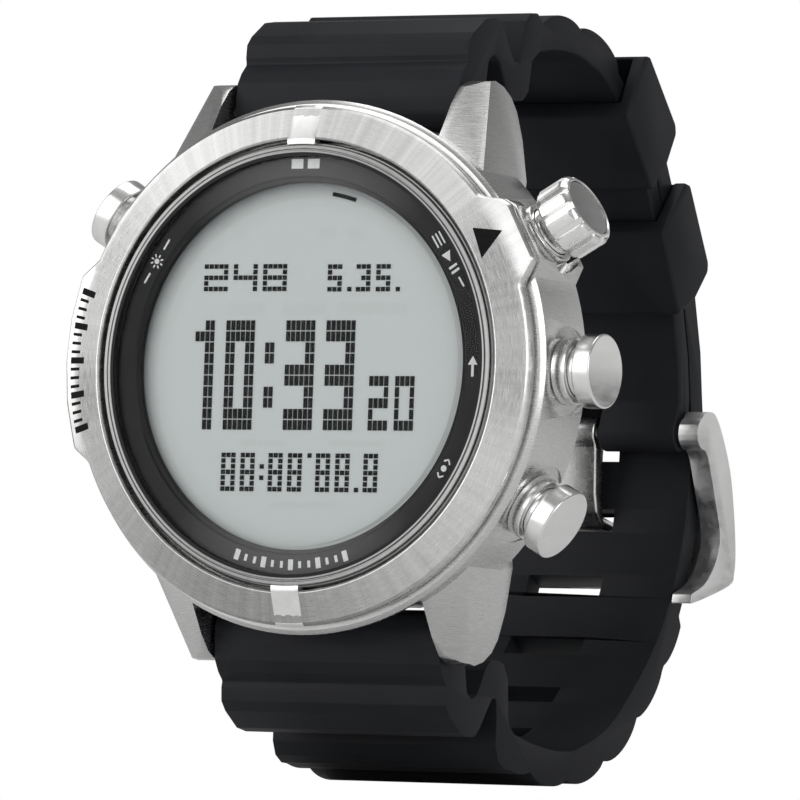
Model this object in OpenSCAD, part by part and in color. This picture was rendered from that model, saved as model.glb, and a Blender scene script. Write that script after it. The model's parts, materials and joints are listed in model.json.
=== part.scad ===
// Wrist-worn dive computer on a rubber strap, fastened as it is worn.
// X points to 3 o'clock, Z to 12 o'clock, and the dial faces -Y.
// The origin is the centre of the case back's flat face, and +Y points into the wrist.

/* [Case] */
// Height from the case back's flat face to the bezel's inner edge
case_t = 15.5; // [14.5:0.5:17]
// Radius of the mid case
case_r = 24.9; // [24.6:0.1:25.4]
// Radius of the space inside the case
cavity_r = 18.6; // [18.4:0.1:18.8]
// Outer radius of the bezel's top face
bezel_r = 24; // [23.8:0.1:24.3]
// Width of the polished bars in the bezel
bar_w = 2.9; // [2:0.1:4]

/* [Display] */
// Radius of the crystal
crystal_r = 19.4; // [19.2:0.1:19.5]
// Radius of the visible display window
window_r = 17.1; // [16:0.1:17.6]

/* [Buttons] */
// Travel of every button
press = 0.8; // [0.5:0.1:0.9]
// Radius of a plain button's cap
cap_r = 3.45; // [3:0.05:3.6]
// Radius of the ribbed button's cap
crown_r = 3.9; // [3.85:0.05:4]
// Number of ribs on the ribbed button
crown_ribs = 12; // [8:1:16]

/* [Strap] */
// Width of the strap
strap_w = 24; // [22:0.5:24]
// Thickness of the short half under the keepers
short_t = 2.2; // [2:0.1:2.3]
// Thickness of the long half
long_t = 2.5; // [2.3:0.1:2.6]
// Height of the ridges on the outside
ridge_h = 0.9; // [0:0.1:1]
// Spacing of the adjustment slots
slot_pitch = 7; // [6.8:0.1:7.2]

/* [Hidden] */
$fn = 96;
EPS = 0.01;
FAR = 60;
RUN = 0.05;            // running clearance between a shaft and its bore

// Heights above the case back's flat face, seen along the dial's axis
back_top = 3.9;        // joint between the case back and the mid case
case_top = 13.1;       // joint between the mid case and the bezel
shelf_top = 13.5;      // shelf that the crystal ring and the mask ring rest on
crystal_top = case_t + 0.15;
crystal_rim_t = 1.1;
crystal_t = 2;
lcd_top = case_t - 1.95;
lcd_t = 1.4;
board_z = 9.8;
board_t = 1;
cell_z = 2.7;
cell_t = 3.2;
button_z = 7.7;        // height of every button's axis

// Angles clockwise from 12 o'clock
CROWN = 60;
BUTTON_3 = 90;
BUTTON_4 = 120;
BUTTON_10 = 302;

// Radial places along a button's axis
tube_in = 18.2;
seat_x = 24.45;        // flat on the case that the collar sits on
collar_x = 25.8;
shoulder_x = 21.2;     // inner end of the wide bore in the tube
stem_x = 22.7;         // inner end of the wide stem
cap_x = collar_x + press + 0.1;
cap_end = 28.55;
stem_r = 2.4;
thin_r = 1;
tip_x = 16.97;
crown_end = 30.3;

// Strap places: Y and Z of the spring bars, and the flex line of the folded ends
bar_y = -4.9;
bar_z = 24.4;
flex_y = 4;
lug_in = strap_w / 2 + 0.3;
lug_tip = 14.7;
lug_base = 17;
strap_room = 21.8;     // distance from the dial's axis to the space that the strap's end turns in
bar_r = 0.9;
pin_y = 41;
pin_z = -2.6;
pin_r = 0.75;
buckle_half = 14.5;
keeper_half = 13.7;

// ---------- frames ----------
// Draws in dial coordinates: x to 3 o'clock, y to 12 o'clock, z up from the case back
module head() rotate([90, 0, 0]) children();

// Draws along a button's axis, with z = 0 at radius r0
module radial(angle, r0) head() rotate([0, 0, 90 - angle])
    translate([r0, 0, button_z]) rotate([0, 90, 0]) children();

// Extrudes a Y-Z outline to a width across the strap
module across(w) rotate([90, 0, 90]) translate([0, 0, -w / 2]) linear_extrude(w) children();

// A cylinder along X at a Y-Z place
module rod(y, z, x0, x1, r) translate([x0, y, z]) rotate([0, 90, 0]) cylinder(r = r, h = x1 - x0);

module ring(r0, r1, z0, z1) rotate_extrude() translate([r0, z0]) square([r1 - r0, z1 - z0]);

// ---------- curves ----------
function catmull(a, b, c, d, t) = 0.5 * (2 * b + (c - a) * t + (2 * a - 5 * b + 4 * c - d) * t * t
    + (3 * b - a - 3 * c + d) * t * t * t);
function spline(p, n) = [for (i = [0:len(p) - 2], k = [0:n - 1])
    catmull(p[max(i - 1, 0)], p[i], p[i + 1], p[min(i + 2, len(p) - 1)], k / n), p[len(p) - 1]];
function ends(p, i) = p[min(i + 1, len(p) - 1)] - p[max(i - 1, 0)];
function left_of(p, i) = let (d = ends(p, i)) [-d[1], d[0]] / norm(d);
function shifted(p, t) = [for (i = [0:len(p) - 1]) p[i] + t[i] * left_of(p, i)];
function flat(n, t) = [for (i = [0:n - 1]) t];
function reversed(p) = [for (i = [len(p) - 1:-1:0]) p[i]];
function run(p, i = 1, s = [0]) = i >= len(p) ? s
    : run(p, i + 1, concat(s, [s[i - 1] + norm(p[i] - p[i - 1])]));
function place(p, s, want, i = 0) = s[i + 1] >= want || i + 2 >= len(p)
    ? p[i] + (p[i + 1] - p[i]) * (want - s[i]) / (s[i + 1] - s[i]) : place(p, s, want, i + 1);
function heading(p, s, want, i = 0) = s[i + 1] >= want || i + 2 >= len(p)
    ? atan2(p[i + 1][1] - p[i][1], p[i + 1][0] - p[i][0]) : heading(p, s, want, i + 1);

// Inner line of the short half, from the folded end to the buckle pin (Y, Z)
SHORT_TOP = spline([[8.6, 31.4], [12.5, 32], [16.5, 31.9], [19.5, 31.2], [22.3, 30.2], [24.7, 28.6]], 4);
SHORT_BACK = [[31.7, 20.8], [32.8, 18.9], [38.5, 8.7], [39.7, 4.5], [40.3, 0.6]];
SHORT = concat(SHORT_TOP, SHORT_BACK);
SHORT_RUN = run(SHORT);
function swell(phase) = ridge_h * sqrt(abs(sin(180 * phase)));
function short_ridge(y) = y < 23.5 ? swell((y - 9.5) / 7) + 0.2 + 0.5 * max(0, 10 - y) : 0;
SHORT_OUT = shifted(SHORT, [for (q = SHORT) short_t + short_ridge(q[0])]);

// Inner line of the long half: round the wrist, through the buckle, then over the short half
tail_gap = 0.15;
LONG_LOOP = spline([[8.2, -33.1], [11, -33.7], [14.5, -34.2], [18, -34.4], [21.5, -34], [27.6, -31.7],
    [32.6, -27.8], [36.7, -23.6], [39.5, -19.3], [41.9, -13.2], [43, -7], [43.2, -2.5]], 4);
TAIL = reversed(shifted(SHORT, flat(len(SHORT), short_t + tail_gap)));
LONG = concat(LONG_LOOP, [TAIL[0], TAIL[1], TAIL[2], TAIL[3], TAIL[4],
    TAIL[4] + (TAIL[5] - TAIL[4]) * 0.62]);
LONG_RUN = run(LONG);
loop_end = LONG_RUN[32];                  // where the ridges stop, below the buckle
function long_ridge(s) = s < loop_end ? swell((s + 3) / slot_pitch) : 0;
LONG_OUT = shifted(LONG, [for (s = LONG_RUN) -long_t - long_ridge(s)]);
first_slot = 11.1;
slots = 11;
slot_w = 8.2;
slot_h = 2.3;

// ---------- case ----------
module sector_block(points, z0, z1) translate([0, 0, z0]) linear_extrude(z1 - z0)
    polygon([for (q = points) q[0] * [sin(q[1]), cos(q[1])]]);

// Bosses as radius and angle clockwise from 12: the right one guards the ribbed button
RIGHT_BOSS = [[21.5, 46], [24.1, 49.3], [25.6, 52.9], [26.1, 55.1], [26.1, 67.8], [24.3, 72], [21.5, 74]];
LEFT_BOSS = [[21.5, -60], [24.2, -65.5], [25.4, -70.6], [25.4, -80], [25.4, -89], [25.4, -98],
    [25.4, -108], [24.4, -112.5], [21.5, -118]];

// Side outline of a lug: distance from the dial's axis, then height above the case back
module lug_outline() polygon([[12, 4.4], [17.5, 2.8], [22, 2], [24.6, 2.1], [25.9, 2.7], [26.8, 3.9],
    [27.2, 5.4], [27, 6.7], [26.4, 7.8], [21, 12.7], [12, 12.7]]);

// One lug at 12 o'clock on the right: tapered outwards, with a top that falls to the tip and the side
lug_fall = 40.5;
lug_turn = 51.6;
module lug() difference() {
    intersection() {
        rotate([90, 0, 90]) linear_extrude(lug_base) lug_outline();
        linear_extrude(case_top) polygon([[lug_in, 10], [lug_in, 28], [lug_tip, 28], [lug_tip, 27.5],
            [lug_base, 18], [lug_base, 10]]);
    }
    translate([lug_in, 21.9, 11.2]) rotate([0, 0, lug_turn]) rotate([0, lug_fall, 0])
        translate([-FAR, -FAR, 0]) cube([2 * FAR, 2 * FAR, FAR]);
}

module button_bores(angle) {
    radial(angle, 0) cylinder(r = 2.9 + RUN, h = FAR);
    radial(angle, seat_x) cylinder(r = 4.1, h = FAR);
}

module case_ring() rotate_extrude() polygon([[cavity_r, back_top], [case_r - 0.7, back_top],
    [case_r, back_top + 0.7], [case_r, case_top - 0.6], [case_r - 0.4, case_top - 0.2],
    [23.6, case_top - 0.2], [23.6, case_top], [20.9, case_top], [20.9, shelf_top], [cavity_r, shelf_top]]);

module mid_case() color("silver") difference() {
    union() {
        head() case_ring();
        head() sector_block(RIGHT_BOSS, back_top + 0.5, case_top - 0.2);
        for (sx = [0, 1], sy = [0, 1]) head() mirror([sx, 0, 0]) mirror([0, sy, 0]) lug();
    }
    head() translate([0, 0, -1]) cylinder(r = cavity_r, h = FAR);
    head() translate([0, 0, -1]) cylinder(r = 23.2, h = back_top + 1);
    for (sy = [0, 1]) head() mirror([0, sy, 0]) translate([-lug_in, strap_room, -1])
        cube([2 * lug_in, 20, case_top]);
    head() ring(19.05, 20.1, back_top - EPS, back_top + 0.9);
    for (i = [0:3]) screw_at(i) cylinder(r = 0.75, h = 4);
    for (a = [CROWN, BUTTON_3, BUTTON_4, BUTTON_10]) button_bores(a);
    for (sz = [-1, 1]) rod(bar_y, sz * bar_z, -13.5, 13.5, 0.45);
}

// ---------- case back ----------
module screw_at(i) head() rotate([0, 0, 45 + 90 * i]) translate([21.6, 0, back_top]) children();

module case_back() color("gainsboro") difference() {
    head() rotate_extrude() polygon([[0, 0], [18.6, 0], [20, 0.5], [23, 2.4], [23, back_top],
        [18.4, back_top], [17.9, 1.8], [0, 1.8]]);
    for (i = [0:3]) screw_at(i) translate([0, 0, -FAR]) cylinder(r = 0.8, h = 2 * FAR);
    for (i = [0:3]) screw_at(i) translate([0, 0, -FAR]) cylinder(r = 1.5, h = FAR - 1.4);
    head() translate([0, -12.5, -1]) cylinder(r = 3, h = 4);
    for (sy = [0, 1]) head() mirror([0, sy, 0]) translate([-FAR, strap_room, -1]) cube([2 * FAR, 20, case_t]);
}

module case_gasket() color("dimgray") head() translate([0, 0, back_top])
    rotate_extrude() translate([19.58, 0.41]) circle(r = 0.4);

module case_screws() color("silver") for (i = [0:3]) screw_at(i) {
    difference() {
        translate([0, 0, -2.3]) cylinder(r = 1.4, h = 0.9);
        translate([-2, -0.2, -2.4]) cube([4, 0.4, 0.5]);
    }
    translate([0, 0, -1.4]) cylinder(r = 0.7, h = 4.4);
}

// ---------- bezel ----------
module bezel_ring(lift = 0) rotate_extrude() polygon([[20.95, case_top + RUN], [23.9, case_top + RUN],
    [24.3, case_top + 0.35], [24.3, case_t - 1.55 + lift], [bezel_r, case_t - 1.2 + lift],
    [20.95, case_t - 0.05 + lift]]);

module bar_box(gap) for (sy = [0, 1]) mirror([0, sy, 0])
    translate([-bar_w / 2 - gap, 15, case_top + 1 - gap]) cube([bar_w + 2 * gap, 20, 9]);

module bezel() color("lightgray") head() difference() {
    union() {
        bezel_ring();
        difference() {
            union() {
                sector_block(RIGHT_BOSS, case_top + RUN, case_t - 1.35);
                sector_block(LEFT_BOSS, case_top + RUN, case_t - 1.35);
            }
            translate([0, 0, -1]) cylinder(r = 22, h = FAR);
        }
    }
    bar_box(0.03);
}

module bezel_bars() color("white") head() intersection() {
    union() {
        bezel_ring(0.1);
        ring(20.5, 21, 14.55, case_t + 0.05);
    }
    bar_box(0);
}

// ---------- crystal and display ----------
module crystal_ring() color("gray") head() rotate_extrude() polygon([[19.75, shelf_top],
    [20.7, shelf_top], [20.7, 14.5], [20.45, 14.5], [20.45, 15.25], [20.1, 15.25], [20.1, 15.1],
    [19.95, 15.1], [19.95, 15.3], [19.75, 15.3]]);

module crystal() color("lightcyan", 0.35) head() {
    rotate_extrude() polygon([[0, crystal_top - crystal_t], [window_r - 0.3, crystal_top - crystal_t],
        [window_r - 0.3, crystal_top - crystal_rim_t], [crystal_r, crystal_top - crystal_rim_t],
        [crystal_r, crystal_top - 0.3], [crystal_r - 0.3, crystal_top], [0, crystal_top]]);
}

module crystal_gasket() color("black") head() ring(crystal_r + 0.03, 19.72, 14.6, 15.3);

module mask_ring() color("black") head() rotate_extrude() polygon([[window_r, lcd_top + 0.03],
    [18.9, lcd_top + 0.03], [18.9, shelf_top + 0.05], [19.4, shelf_top + 0.05],
    [19.4, crystal_top - crystal_rim_t - 0.02], [window_r, crystal_top - crystal_rim_t - 0.02]]);

module round_cut(r, z0, z1, flat_y) intersection() {
    translate([0, 0, z0]) cylinder(r = r, h = z1 - z0);
    translate([-FAR, flat_y, z0]) cube([2 * FAR, 2 * FAR, z1 - z0]);
}

module lcd_panel() color("lightsteelblue") head() {
    round_cut(18.4, lcd_top - lcd_t / 2, lcd_top, -17.3);
    round_cut(18.4, lcd_top - lcd_t, lcd_top - lcd_t / 2, -17.8);
}

module light_guide() color("whitesmoke") head() round_cut(17.6, 10.9, lcd_top - lcd_t, -14);

module elastomer_strip() color("pink") head() translate([-6.5, -16.2, board_z + board_t])
    cube([13, 1.8, lcd_top - lcd_t - board_z - board_t]);

// ---------- module ----------
module module_frame() color("ivory") head() difference() {
    union() {
        ring(17.7, 18.3, 4.4, lcd_top - lcd_t);
        ring(16.6, 18, board_z - 0.7, board_z);
    }
    for (a = [CROWN, BUTTON_3, BUTTON_4, BUTTON_10]) rotate([0, 0, 90 - a])
        translate([12, -3.1, 4]) cube([9, 6.2, 7]);
}

module circuit_board() color("darkgreen") head() round_cut(17.5, board_z, board_z + board_t, -17);

module chip(x, y, w, d, h) translate([x - w / 2, y - d / 2, board_z - h]) cube([w, d, h]);

module chips() color("black") head() {
    chip(0, 3, 7, 7, 1.1);
    chip(-7, 8, 5, 4, 0.9);
    chip(7.5, 5, 4, 4, 1);
    chip(-9, -5, 3, 4, 1.4);
    for (i = [0:4]) chip(-4 + 2 * i, 12.5, 1, 0.6, 0.5);
}

module side_switches() color("slategray") for (a = [CROWN, BUTTON_3, BUTTON_4, BUTTON_10])
    head() rotate([0, 0, 90 - a]) translate([13.4, -2.1, button_z - 1.3]) cube([2.7, 4.2, board_z - button_z + 1.3]);

module coin_cell() color("silver") head() translate([-2, 3, cell_z]) {
    cylinder(r = 10, h = 0.6);
    translate([0, 0, 0.6]) cylinder(r = 9.6, h = cell_t - 0.6);
}

module cell_clip() color("goldenrod") head() {
    translate([-4, -8.5, cell_z - 0.35]) cube([4, 22.6, 0.3]);
    translate([-4, 13.8, cell_z - 0.35]) cube([4, 0.3, board_z - cell_z + 0.35]);
}

module buzzer_disc() color("gold") head() translate([7.5, -9.5, 1.85]) {
    cylinder(r = 5, h = 0.25);
    translate([0, 0, 0.25]) cylinder(r = 3.5, h = 0.2);
}

// ---------- pressure sensor ----------
module sensor_grille() color("darkgray") head() translate([0, -12.5, 0.15]) difference() {
    cylinder(r = 2.97, h = 1);
    for (i = [0:5]) rotate([0, 0, 60 * i]) translate([1.6, 0, -1]) cylinder(r = 0.35, h = 4);
    translate([0, 0, -1]) cylinder(r = 0.35, h = 4);
}

module sensor_seal() color("black") head() translate([0, -12.5, 1.55])
    rotate_extrude() translate([2.2, 0]) circle(r = 0.35);

module pressure_sensor() color("lightgray") head() translate([0, -12.5, 0]) {
    translate([0, 0, 1.95]) cylinder(r = 2.9, h = 2.6);
    translate([-2.2, -2.2, 4.55]) cube([4.4, 4.4, 0.8]);
}

// ---------- buttons ----------
module tube_shape() difference() {
    union() {
        translate([0, 0, tube_in]) cylinder(r = 2.9, h = seat_x - tube_in + EPS);
        translate([0, 0, seat_x]) cylinder(r = 3.1, h = collar_x - seat_x);
    }
    translate([0, 0, tube_in - 1]) cylinder(r = thin_r + RUN, h = FAR);
    translate([0, 0, shoulder_x]) cylinder(r = stem_r + RUN, h = FAR);
}

module button_tubes() color("silver") for (a = [CROWN, BUTTON_3, BUTTON_4, BUTTON_10])
    radial(a, 0) tube_shape();

module stem_shape(out_x) {
    difference() {
        translate([0, 0, tip_x]) cylinder(r = thin_r, h = stem_x - tip_x + EPS);
        rotate_extrude() translate([0.7, tube_in - 0.4]) square([1, 0.35]);
    }
    difference() {
        translate([0, 0, stem_x]) cylinder(r = stem_r, h = out_x - stem_x);
        rotate_extrude() translate([1.85, stem_x + 0.9]) square([1, 0.75]);
    }
}

module button(angle) color("silver") radial(angle, 0) {
    stem_shape(cap_x + EPS);
    rotate_extrude() polygon([[0, cap_x], [cap_r - 0.15, cap_x], [cap_r, cap_x + 0.15],
        [cap_r, cap_end - 0.3], [cap_r - 0.3, cap_end], [0, cap_end]]);
}

module seal(angle) color("black") radial(angle, 0)
    rotate_extrude() translate([1.87, stem_x + 0.92]) square([0.56, 0.7]);

module clip(angle) color("gray") radial(angle, tube_in - 0.38) difference() {
    cylinder(r = 1.8, h = 0.3);
    translate([0, 0, -1]) cylinder(r = 0.72, h = 3);
    translate([-0.72, -4, -1]) cube([1.44, 4, 3]);
}

// A coil along z from 0 to h: wire of radius w on radius r, as one swept tube
function coil_point(t, turns, r, h, w) = [r * cos(360 * turns * t), r * sin(360 * turns * t),
    w + (h - 2 * w) * t];
module coil(r, w, h, turns, steps = 14, sides = 6) {
    n = turns * steps;
    points = [for (i = [0:n], k = [0:sides - 1]) let (a = 360 * turns * i / n, c = 360 * k / sides)
        coil_point(i / n, turns, r, h, w) + w * [cos(c) * cos(a), cos(c) * sin(a), sin(c)]];
    walls = [for (i = [0:n - 1], k = [0:sides - 1], half = [0, 1])
        let (j = (k + 1) % sides, a = i * sides, b = a + sides)
        half == 0 ? [a + k, b + k, b + j] : [a + k, b + j, a + j]];
    first = [for (k = [0:sides - 1]) k];
    last = [for (k = [sides - 1:-1:0]) n * sides + k];
    polyhedron(points, concat(walls, [first, last]));
}

module button_spring(angle) color("silver") radial(angle, shoulder_x + 0.02)
    coil(1.6, 0.2, stem_x - shoulder_x - 0.04, 3);

module button_3() button(BUTTON_3);
module button_4() button(BUTTON_4);
module button_10() button(BUTTON_10);
module button_3_spring() button_spring(BUTTON_3);
module button_4_spring() button_spring(BUTTON_4);
module button_10_spring() button_spring(BUTTON_10);
module button_3_seal() seal(BUTTON_3);
module button_4_seal() seal(BUTTON_4);
module button_10_seal() seal(BUTTON_10);
module button_3_clip() clip(BUTTON_3);
module button_4_clip() clip(BUTTON_4);
module button_10_clip() clip(BUTTON_10);

// ---------- ribbed button ----------
journal_r = 1.5;
crown_floor = crown_end - 0.9;       // floor of the recess in the cap's end

module crown_stem() color("silver") radial(CROWN, 0) {
    stem_shape(cap_x - RUN);
    translate([0, 0, cap_x - 2 * RUN]) cylinder(r = journal_r, h = crown_floor - cap_x + 3 * RUN + EPS);
    translate([0, 0, crown_floor + 0.05]) cylinder(r = 2.2, h = 0.3);
}

module crown_cap() color("lightgray") radial(CROWN, 0) difference() {
    union() {
        rotate_extrude() polygon([[0, cap_x], [crown_r - 0.35, cap_x], [crown_r - 0.35, crown_end - 0.35],
            [crown_r - 0.7, crown_end], [0, crown_end]]);
        for (i = [0:crown_ribs - 1]) rotate([0, 0, 360 * (i + 0.5) / crown_ribs])
            translate([crown_r - 1, -0.42, cap_x]) cube([1, 0.84, crown_end - cap_x - 1]);
    }
    translate([0, 0, cap_x - 1]) cylinder(r = journal_r + RUN, h = FAR);
    translate([0, 0, crown_floor]) cylinder(r = 3, h = FAR);
}

module crown_inlay() color("dimgray") radial(CROWN, crown_end - 0.45) cylinder(r = 2.97, h = 0.2);
module crown_spring() button_spring(CROWN);
module crown_seal() seal(CROWN);
module crown_clip() clip(CROWN);

// ---------- spring bars ----------
tube_half = 10.2;
flange_x = 11.25;

module bar_tube(z) color("silver") difference() {
    rod(bar_y, z, -tube_half, tube_half, bar_r);
    rod(bar_y, z, -FAR, FAR, 0.65);
}

module bar_tip(side, z) color("silver") mirror([side < 0 ? 1 : 0, 0, 0]) {
    rod(bar_y, z, 6.6, flange_x + EPS, 0.6);
    rod(bar_y, z, flange_x, lug_in - 0.35, bar_r);
    rod(bar_y, z, lug_in - 0.35 - EPS, 13.25, 0.4);
}

module bar_spring(z) color("gray") translate([-6.5, bar_y, z]) rotate([0, 90, 0])
    coil(0.45, 0.12, 13, 8, 10);

module bar_tube_12() bar_tube(bar_z);
module bar_tip_12_right() bar_tip(1, bar_z);
module bar_tip_12_left() bar_tip(-1, bar_z);
module bar_spring_12() bar_spring(bar_z);
module bar_tube_6() bar_tube(-bar_z);
module bar_tip_6_right() bar_tip(1, -bar_z);
module bar_tip_6_left() bar_tip(-1, -bar_z);
module bar_spring_6() bar_spring(-bar_z);

// ---------- strap ----------
// The folded end at 12 o'clock, from the spring bar to the flex line
module folded_end() difference() {
    union() {
        rod(bar_y, bar_z, -strap_w / 2, strap_w / 2, 2.3);
        across(strap_w) polygon([[-6.6, 25.5], [-4.6, 29.3], [-4.4, 31], [-3.4, 32.1], [-1.5, 33], [0.2, 33.4],
            [1.5, 32.6], [2.5, 31.2], [flex_y - 0.45, 29.8], [flex_y - 0.19, 26.6], [2.4, 26.7],
            [1.3, 28.4], [0.5, 29.7], [-0.5, 30.2], [-1.5, 29.6], [-1.8, 27.6], [-2.8, 24.6]]);
    }
    rod(bar_y, bar_z, -FAR, FAR, bar_r + RUN);
}

module strap_short_end() color("#1d1e22") folded_end();
module strap_long_end() color("#1d1e22") mirror([0, 0, 1]) folded_end();

// A transverse slot through the strap at a distance along its inner line
module slot_cut(p, s, want, w, h) let (q = place(p, s, want))
    translate([0, q[0], q[1]]) rotate([heading(p, s, want), 0, 0])
    translate([-w / 2, -h / 2, -4]) cube([w, h, 8]);

RISER_IN = [[flex_y + 0.19, 26.6], [6.6, 27.4], [7.1, 30.3]];
RISER_OUT = [[6.9, 34.9], [6.2, 34.2], [5.6, 32.4], [flex_y + 0.45, 29.8]];

module strap_short() color("#1d1e22") difference() {
    union() {
        across(strap_w) polygon(concat(RISER_IN, SHORT, reversed(SHORT_OUT), RISER_OUT));
        rod(pin_y, pin_z, -strap_w / 2, strap_w / 2, 1.8);
        across(strap_w) polygon([SHORT[len(SHORT) - 1] + [0, EPS], [39.6, -1.5], [41, pin_z], [42.4, -1.2],
            SHORT_OUT[len(SHORT) - 1]]);
    }
    rod(pin_y, pin_z, -FAR, FAR, pin_r + RUN);
    translate([-3.6, pin_y - 5, pin_z - 5]) cube([7.2, 10, 7.4]);
}

LONG_RISER_IN = [[flex_y + 0.19, -26.6], [6.6, -28], [7, -32.2]];
LONG_RISER_OUT = [[6, -36.2], [5.4, -35], [4.9, -31.5], [flex_y + 0.45, -29.8]];

module strap_long() color("#1d1e22") difference() {
    across(strap_w) polygon(concat(LONG_RISER_IN, LONG, reversed(LONG_OUT), LONG_RISER_OUT));
    for (i = [0:slots - 1]) slot_cut(LONG, LONG_RUN, first_slot + i * slot_pitch, slot_w, slot_h);
}

// ---------- keepers ----------
// Outline in strap coordinates: along the strap, then away from the wrist
KEEPER = [[-4.2, -1.9], [-6.6, 4.6], [-5.9, 5.6], [2.6, 6], [3.4, 5.5], [4.6, 1.8], [4.6, -1.9]];
keeper_gap = 0.25;

module keeper_at(a, b, t) let (q = a + (b - a) * t, d = b - a)
    translate([0, q[0], q[1]]) rotate([atan2(d[1], d[0]), 0, 0]) color("#1d1e22") difference() {
        across(2 * keeper_half) polygon(KEEPER);
        across(strap_w + 0.6) polygon([[-FAR, -keeper_gap], [FAR, -keeper_gap],
            [FAR, short_t + long_t + tail_gap + keeper_gap],
            [-FAR, short_t + long_t + tail_gap + keeper_gap]]);
    }

module keeper_upper() keeper_at(SHORT_TOP[len(SHORT_TOP) - 1], SHORT_BACK[0], 0.47);
module keeper_lower() keeper_at(SHORT_BACK[1], SHORT_BACK[2], 0.52);

// ---------- buckle ----------
BUCKLE_OUT = [[40.9, -0.6], [42, -0.4], [43.3, -0.7], [44.9, -2.5], [46.8, -5.8], [47.9, -9.5],
    [48.6, -13.5], [48.5, -15.8], [47.7, -17], [43, -18.4], [39.2, -19.3]];
BUCKLE_IN = [[39.4, -18.3], [42, -17.3], [44, -15.5], [45.1, -13.2], [44.9, -11.4], [43.9, -9.1],
    [42.9, -6.9], [42, -5], [41.2, -4.2]];
buckle_eye = 1.6;

module buckle_frame() color("silver") difference() {
    union() {
        across(2 * buckle_half) polygon(concat(BUCKLE_OUT, BUCKLE_IN));
        rod(pin_y, pin_z, -buckle_half, buckle_half, buckle_eye);
    }
    across(strap_w + 0.8) polygon([[30, 5], [46.05, 5], [46.05, -13], [44, -30], [30, -30]]);
    translate([-8.5, 40, -11.2]) cube([17, 20, 20]);
    translate([-3.5, 40, -14.3]) cube([7, 20, 20]);
    rod(pin_y, pin_z, -13.6, 13.6, pin_r + 0.01);
}

module buckle_pin() color("silver") rod(pin_y, pin_z, -13.5, 13.5, pin_r);

module buckle_tongue() color("silver") difference() {
    union() {
        rod(pin_y, pin_z, -3.1, 3.1, 1.6);
        across(6.2) polygon([[40, -3.4], [41.9, -3.2], [41.6, -9], [42.2, -10.75], [45.6, -11.35],
            [47.7, -12.35], [47.7, -13.5], [45.2, -12.3], [42.2, -11.85], [40.7, -10.4], [40.2, -8.5]]);
    }
    rod(pin_y, pin_z, -FAR, FAR, pin_r + RUN);
}

mid_case();
case_back();
case_gasket();
case_screws();
bezel();
bezel_bars();
crystal_ring();
crystal();
crystal_gasket();
mask_ring();
lcd_panel();
light_guide();
elastomer_strip();
module_frame();
circuit_board();
chips();
side_switches();
coin_cell();
cell_clip();
buzzer_disc();
pressure_sensor();
sensor_seal();
sensor_grille();
button_tubes();
button_3();
button_3_spring();
button_3_seal();
button_3_clip();
button_4();
button_4_spring();
button_4_seal();
button_4_clip();
button_10();
button_10_spring();
button_10_seal();
button_10_clip();
crown_stem();
crown_cap();
crown_inlay();
crown_spring();
crown_seal();
crown_clip();
bar_tube_12();
bar_tip_12_right();
bar_tip_12_left();
bar_spring_12();
bar_tube_6();
bar_tip_6_right();
bar_tip_6_left();
bar_spring_6();
strap_short_end();
strap_short();
strap_long_end();
strap_long();
keeper_upper();
keeper_lower();
buckle_frame();
buckle_pin();
buckle_tongue();
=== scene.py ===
"""Looks of a wrist-worn dive computer: brushed steel, a digital display and a ridged rubber strap."""
import json
import math

import bmesh
import bpy
from mathutils import Matrix, Vector

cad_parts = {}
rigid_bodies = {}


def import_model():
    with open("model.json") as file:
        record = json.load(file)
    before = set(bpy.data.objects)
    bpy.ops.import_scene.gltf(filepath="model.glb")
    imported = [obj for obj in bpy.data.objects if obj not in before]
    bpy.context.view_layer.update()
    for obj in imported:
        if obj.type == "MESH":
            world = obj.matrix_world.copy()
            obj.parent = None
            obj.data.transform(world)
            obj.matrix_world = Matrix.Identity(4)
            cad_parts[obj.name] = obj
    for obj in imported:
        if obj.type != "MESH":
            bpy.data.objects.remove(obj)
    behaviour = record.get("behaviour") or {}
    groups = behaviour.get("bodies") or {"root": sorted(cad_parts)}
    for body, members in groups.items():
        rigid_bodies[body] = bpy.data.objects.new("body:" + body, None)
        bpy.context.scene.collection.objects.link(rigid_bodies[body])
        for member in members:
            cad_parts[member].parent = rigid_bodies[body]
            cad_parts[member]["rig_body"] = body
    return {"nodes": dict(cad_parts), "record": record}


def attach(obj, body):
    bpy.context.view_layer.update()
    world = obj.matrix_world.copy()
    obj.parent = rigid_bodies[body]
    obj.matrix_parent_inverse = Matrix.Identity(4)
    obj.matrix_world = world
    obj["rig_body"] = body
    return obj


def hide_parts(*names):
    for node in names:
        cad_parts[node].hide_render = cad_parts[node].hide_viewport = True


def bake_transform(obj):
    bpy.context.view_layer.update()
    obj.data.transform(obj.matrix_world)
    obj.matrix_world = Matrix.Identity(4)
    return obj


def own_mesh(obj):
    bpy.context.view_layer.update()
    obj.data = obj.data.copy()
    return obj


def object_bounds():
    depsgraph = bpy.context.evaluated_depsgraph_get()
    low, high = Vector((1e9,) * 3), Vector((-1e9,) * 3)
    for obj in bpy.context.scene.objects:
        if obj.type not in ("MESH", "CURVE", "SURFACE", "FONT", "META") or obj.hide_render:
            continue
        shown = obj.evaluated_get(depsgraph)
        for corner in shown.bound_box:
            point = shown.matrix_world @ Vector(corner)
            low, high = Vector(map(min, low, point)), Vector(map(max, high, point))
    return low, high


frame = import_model()
CAD_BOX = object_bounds()

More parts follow.
